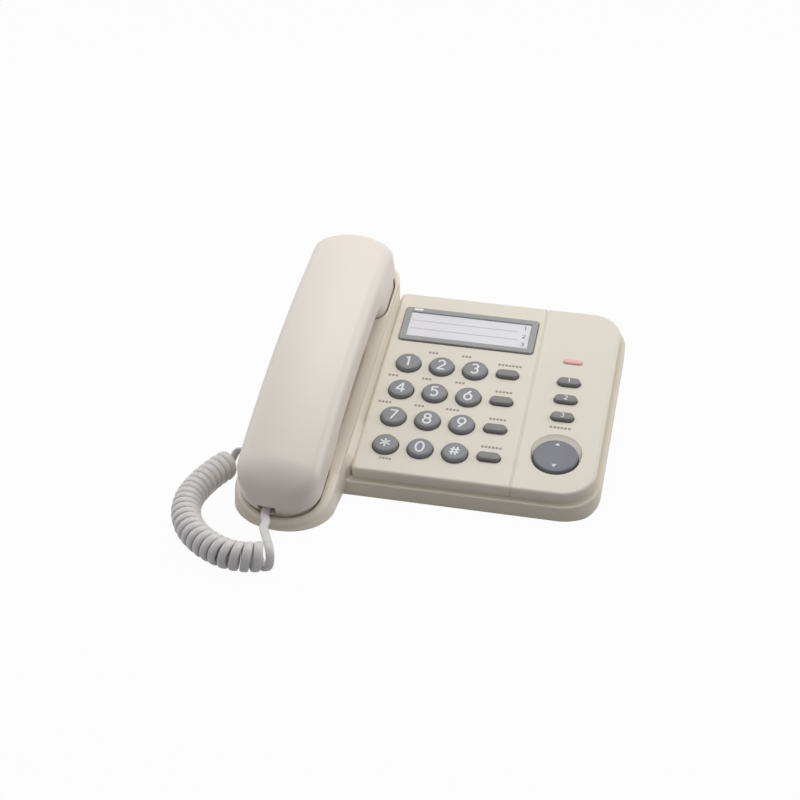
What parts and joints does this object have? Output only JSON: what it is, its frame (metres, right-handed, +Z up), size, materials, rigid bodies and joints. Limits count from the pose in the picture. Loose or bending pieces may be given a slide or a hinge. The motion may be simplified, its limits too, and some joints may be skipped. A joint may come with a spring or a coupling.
{
  "type": "corded telephone",
  "caption": "Corded desk telephone: sloping keypad base with a number card, a long handset lying in its cradle and a curly cord.",
  "frame": {"origin": "centre of the footprint on the desk, without the cord", "axes": "+Z up from the desk; the keys and the user's side face -Y; the cradle is on the -X side"},
  "size_m": [0.2163, 0.2423, 0.0871],
  "materials": {
    "case": "fine satin",
    "case_low": "fine satin",
    "handset": "fine satin",
    "rubber": "matte",
    "steel": "plated",
    "board": "lacquered",
    "black": "satin",
    "ribbon": "satin",
    "capacitor": "sleeved",
    "sounder": "bare",
    "lamp": "translucent",
    "card": "smooth",
    "frame_grey": "satin",
    "clear": "clear",
    "plunger": "satin",
    "keys": "satin",
    "volume": "satin",
    "capsule": "satin",
    "weight": "painted",
    "plug": "translucent",
    "cord": "satin"
  },
  "bodies": {
    "base": {"upper_case": "case", "lower_case": "case_low", "rubber_feet": "rubber", "case_screws": "steel", "key_mat": "rubber", "key_board": "board", "board_screws": "steel", "main_board": "board", "ribbon_cable": "ribbon", "speech_chip": "black", "capacitors": "capacitor", "ringer_disc": "sounder", "lamp": "lamp", "lamp_window": "lamp", "number_card": "card", "base_socket": "black", "line_socket": "black", "ringer_switch": "steel", "dial_switch": "steel", "hook_switch": "black", "hook_spring": "steel", "cord_handset_tail": "cord", "cord_curls": "cord", "cord_base_tail": "cord", "base_plug": "plug"},
    "handset": {"handset_top": "handset", "handset_bottom": "handset", "earpiece": "capsule", "earpiece_gasket": "rubber", "microphone": "capsule", "microphone_boot": "rubber", "handset_weight": "weight", "handset_socket": "black", "handset_screws": "steel", "handset_plug": "plug"},
    "card_cover": {"card_frame": "frame_grey", "card_window": "clear"},
    "hook_plunger_body": {"hook_plunger": "plunger"},
    "ringer_knob_body": {"ringer_knob": "black"},
    "dial_knob_body": {"dial_knob": "black"},
    "volume_key_body": {"volume_key": "volume"},
    "key_1_body": {"key_1": "keys"},
    "key_2_body": {"key_2": "keys"},
    "key_3_body": {"key_3": "keys"},
    "key_4_body": {"key_4": "keys"},
    "key_5_body": {"key_5": "keys"},
    "key_6_body": {"key_6": "keys"},
    "key_7_body": {"key_7": "keys"},
    "key_8_body": {"key_8": "keys"},
    "key_9_body": {"key_9": "keys"},
    "key_star_body": {"key_star": "keys"},
    "key_0_body": {"key_0": "keys"},
    "key_hash_body": {"key_hash": "keys"},
    "function_key_1_body": {"function_key_1": "keys"},
    "function_key_2_body": {"function_key_2": "keys"},
    "function_key_3_body": {"function_key_3": "keys"},
    "function_key_4_body": {"function_key_4": "keys"},
    "memory_key_1_body": {"memory_key_1": "keys"},
    "memory_key_2_body": {"memory_key_2": "keys"},
    "memory_key_3_body": {"memory_key_3": "keys"}
  },
  "joints": [
    {"name": "handset_lift", "type": "slide", "parent": "base", "child": "handset", "axis": [-0.0073, -0.3006, 0.9537], "range_m": [0, 0.06]},
    {"name": "hook_press", "type": "slide", "parent": "base", "child": "hook_plunger_body", "axis": [-0.0073, -0.3006, 0.9537], "range_m": [0, 0.004], "deforming": ["hook_spring"]},
    {"name": "card_cover_lift", "type": "slide", "parent": "base", "child": "card_cover", "axis": [0, -0.2419, 0.9703], "range_m": [0, 0.01]},
    {"name": "volume_rock", "type": "hinge", "parent": "base", "child": "volume_key_body", "pos_m": [0.0688, -0.02783, 0.01986], "axis": [1, 0, 0], "range_deg": [-2.5, 2.5], "stiffness_Nm_per_rad": 0.2},
    {"name": "ringer_slide", "type": "slide", "parent": "base", "child": "ringer_knob_body", "axis": [1, 0, 0], "range_m": [0, 0.006]},
    {"name": "dial_slide", "type": "slide", "parent": "base", "child": "dial_knob_body", "axis": [1, 0, 0], "range_m": [0, 0.004]},
    {"name": "key_1_press", "type": "slide", "parent": "base", "child": "key_1_body", "axis": [0, -0.2419, 0.9703], "range_m": [-0.0015, 0], "stiffness_N_per_m": 300, "springref_m": 0.0005},
    {"name": "key_2_press", "type": "slide", "parent": "base", "child": "key_2_body", "axis": [0, -0.2419, 0.9703], "range_m": [-0.0015, 0], "stiffness_N_per_m": 300, "springref_m": 0.0005},
    {"name": "key_3_press", "type": "slide", "parent": "base", "child": "key_3_body", "axis": [0, -0.2419, 0.9703], "range_m": [-0.0015, 0], "stiffness_N_per_m": 300, "springref_m": 0.0005},
    {"name": "key_4_press", "type": "slide", "parent": "base", "child": "key_4_body", "axis": [0, -0.2419, 0.9703], "range_m": [-0.0015, 0], "stiffness_N_per_m": 300, "springref_m": 0.0005},
    {"name": "key_5_press", "type": "slide", "parent": "base", "child": "key_5_body", "axis": [0, -0.2419, 0.9703], "range_m": [-0.0015, 0], "stiffness_N_per_m": 300, "springref_m": 0.0005},
    {"name": "key_6_press", "type": "slide", "parent": "base", "child": "key_6_body", "axis": [0, -0.2419, 0.9703], "range_m": [-0.0015, 0], "stiffness_N_per_m": 300, "springref_m": 0.0005},
    {"name": "key_7_press", "type": "slide", "parent": "base", "child": "key_7_body", "axis": [0, -0.2419, 0.9703], "range_m": [-0.0015, 0], "stiffness_N_per_m": 300, "springref_m": 0.0005},
    {"name": "key_8_press", "type": "slide", "parent": "base", "child": "key_8_body", "axis": [0, -0.2419, 0.9703], "range_m": [-0.0015, 0], "stiffness_N_per_m": 300, "springref_m": 0.0005},
    {"name": "key_9_press", "type": "slide", "parent": "base", "child": "key_9_body", "axis": [0, -0.2419, 0.9703], "range_m": [-0.0015, 0], "stiffness_N_per_m": 300, "springref_m": 0.0005},
    {"name": "key_star_press", "type": "slide", "parent": "base", "child": "key_star_body", "axis": [0, -0.2419, 0.9703], "range_m": [-0.0015, 0], "stiffness_N_per_m": 300, "springref_m": 0.0005},
    {"name": "key_0_press", "type": "slide", "parent": "base", "child": "key_0_body", "axis": [0, -0.2419, 0.9703], "range_m": [-0.0015, 0], "stiffness_N_per_m": 300, "springref_m": 0.0005},
    {"name": "key_hash_press", "type": "slide", "parent": "base", "child": "key_hash_body", "axis": [0, -0.2419, 0.9703], "range_m": [-0.0015, 0], "stiffness_N_per_m": 300, "springref_m": 0.0005},
    {"name": "function_key_1_press", "type": "slide", "parent": "base", "child": "function_key_1_body", "axis": [0, -0.2419, 0.9703], "range_m": [-0.0015, 0], "stiffness_N_per_m": 300, "springref_m": 0.0005},
    {"name": "function_key_2_press", "type": "slide", "parent": "base", "child": "function_key_2_body", "axis": [0, -0.2419, 0.9703], "range_m": [-0.0015, 0], "stiffness_N_per_m": 300, "springref_m": 0.0005},
    {"name": "function_key_3_press", "type": "slide", "parent": "base", "child": "function_key_3_body", "axis": [0, -0.2419, 0.9703], "range_m": [-0.0015, 0], "stiffness_N_per_m": 300, "springref_m": 0.0005},
    {"name": "function_key_4_press", "type": "slide", "parent": "base", "child": "function_key_4_body", "axis": [0, -0.2419, 0.9703], "range_m": [-0.0015, 0], "stiffness_N_per_m": 300, "springref_m": 0.0005},
    {"name": "memory_key_1_press", "type": "slide", "parent": "base", "child": "memory_key_1_body", "axis": [0, -0.2419, 0.9703], "range_m": [-0.0015, 0], "stiffness_N_per_m": 300, "springref_m": 0.0005},
    {"name": "memory_key_2_press", "type": "slide", "parent": "base", "child": "memory_key_2_body", "axis": [0, -0.2419, 0.9703], "range_m": [-0.0015, 0], "stiffness_N_per_m": 300, "springref_m": 0.0005},
    {"name": "memory_key_3_press", "type": "slide", "parent": "base", "child": "memory_key_3_body", "axis": [0, -0.2419, 0.9703], "range_m": [-0.0015, 0], "stiffness_N_per_m": 300, "springref_m": 0.0005}
  ],
  "couplings": [
    {"joint": "hook_press", "follows": "handset_lift", "ratio": 0.0666}
  ]
}
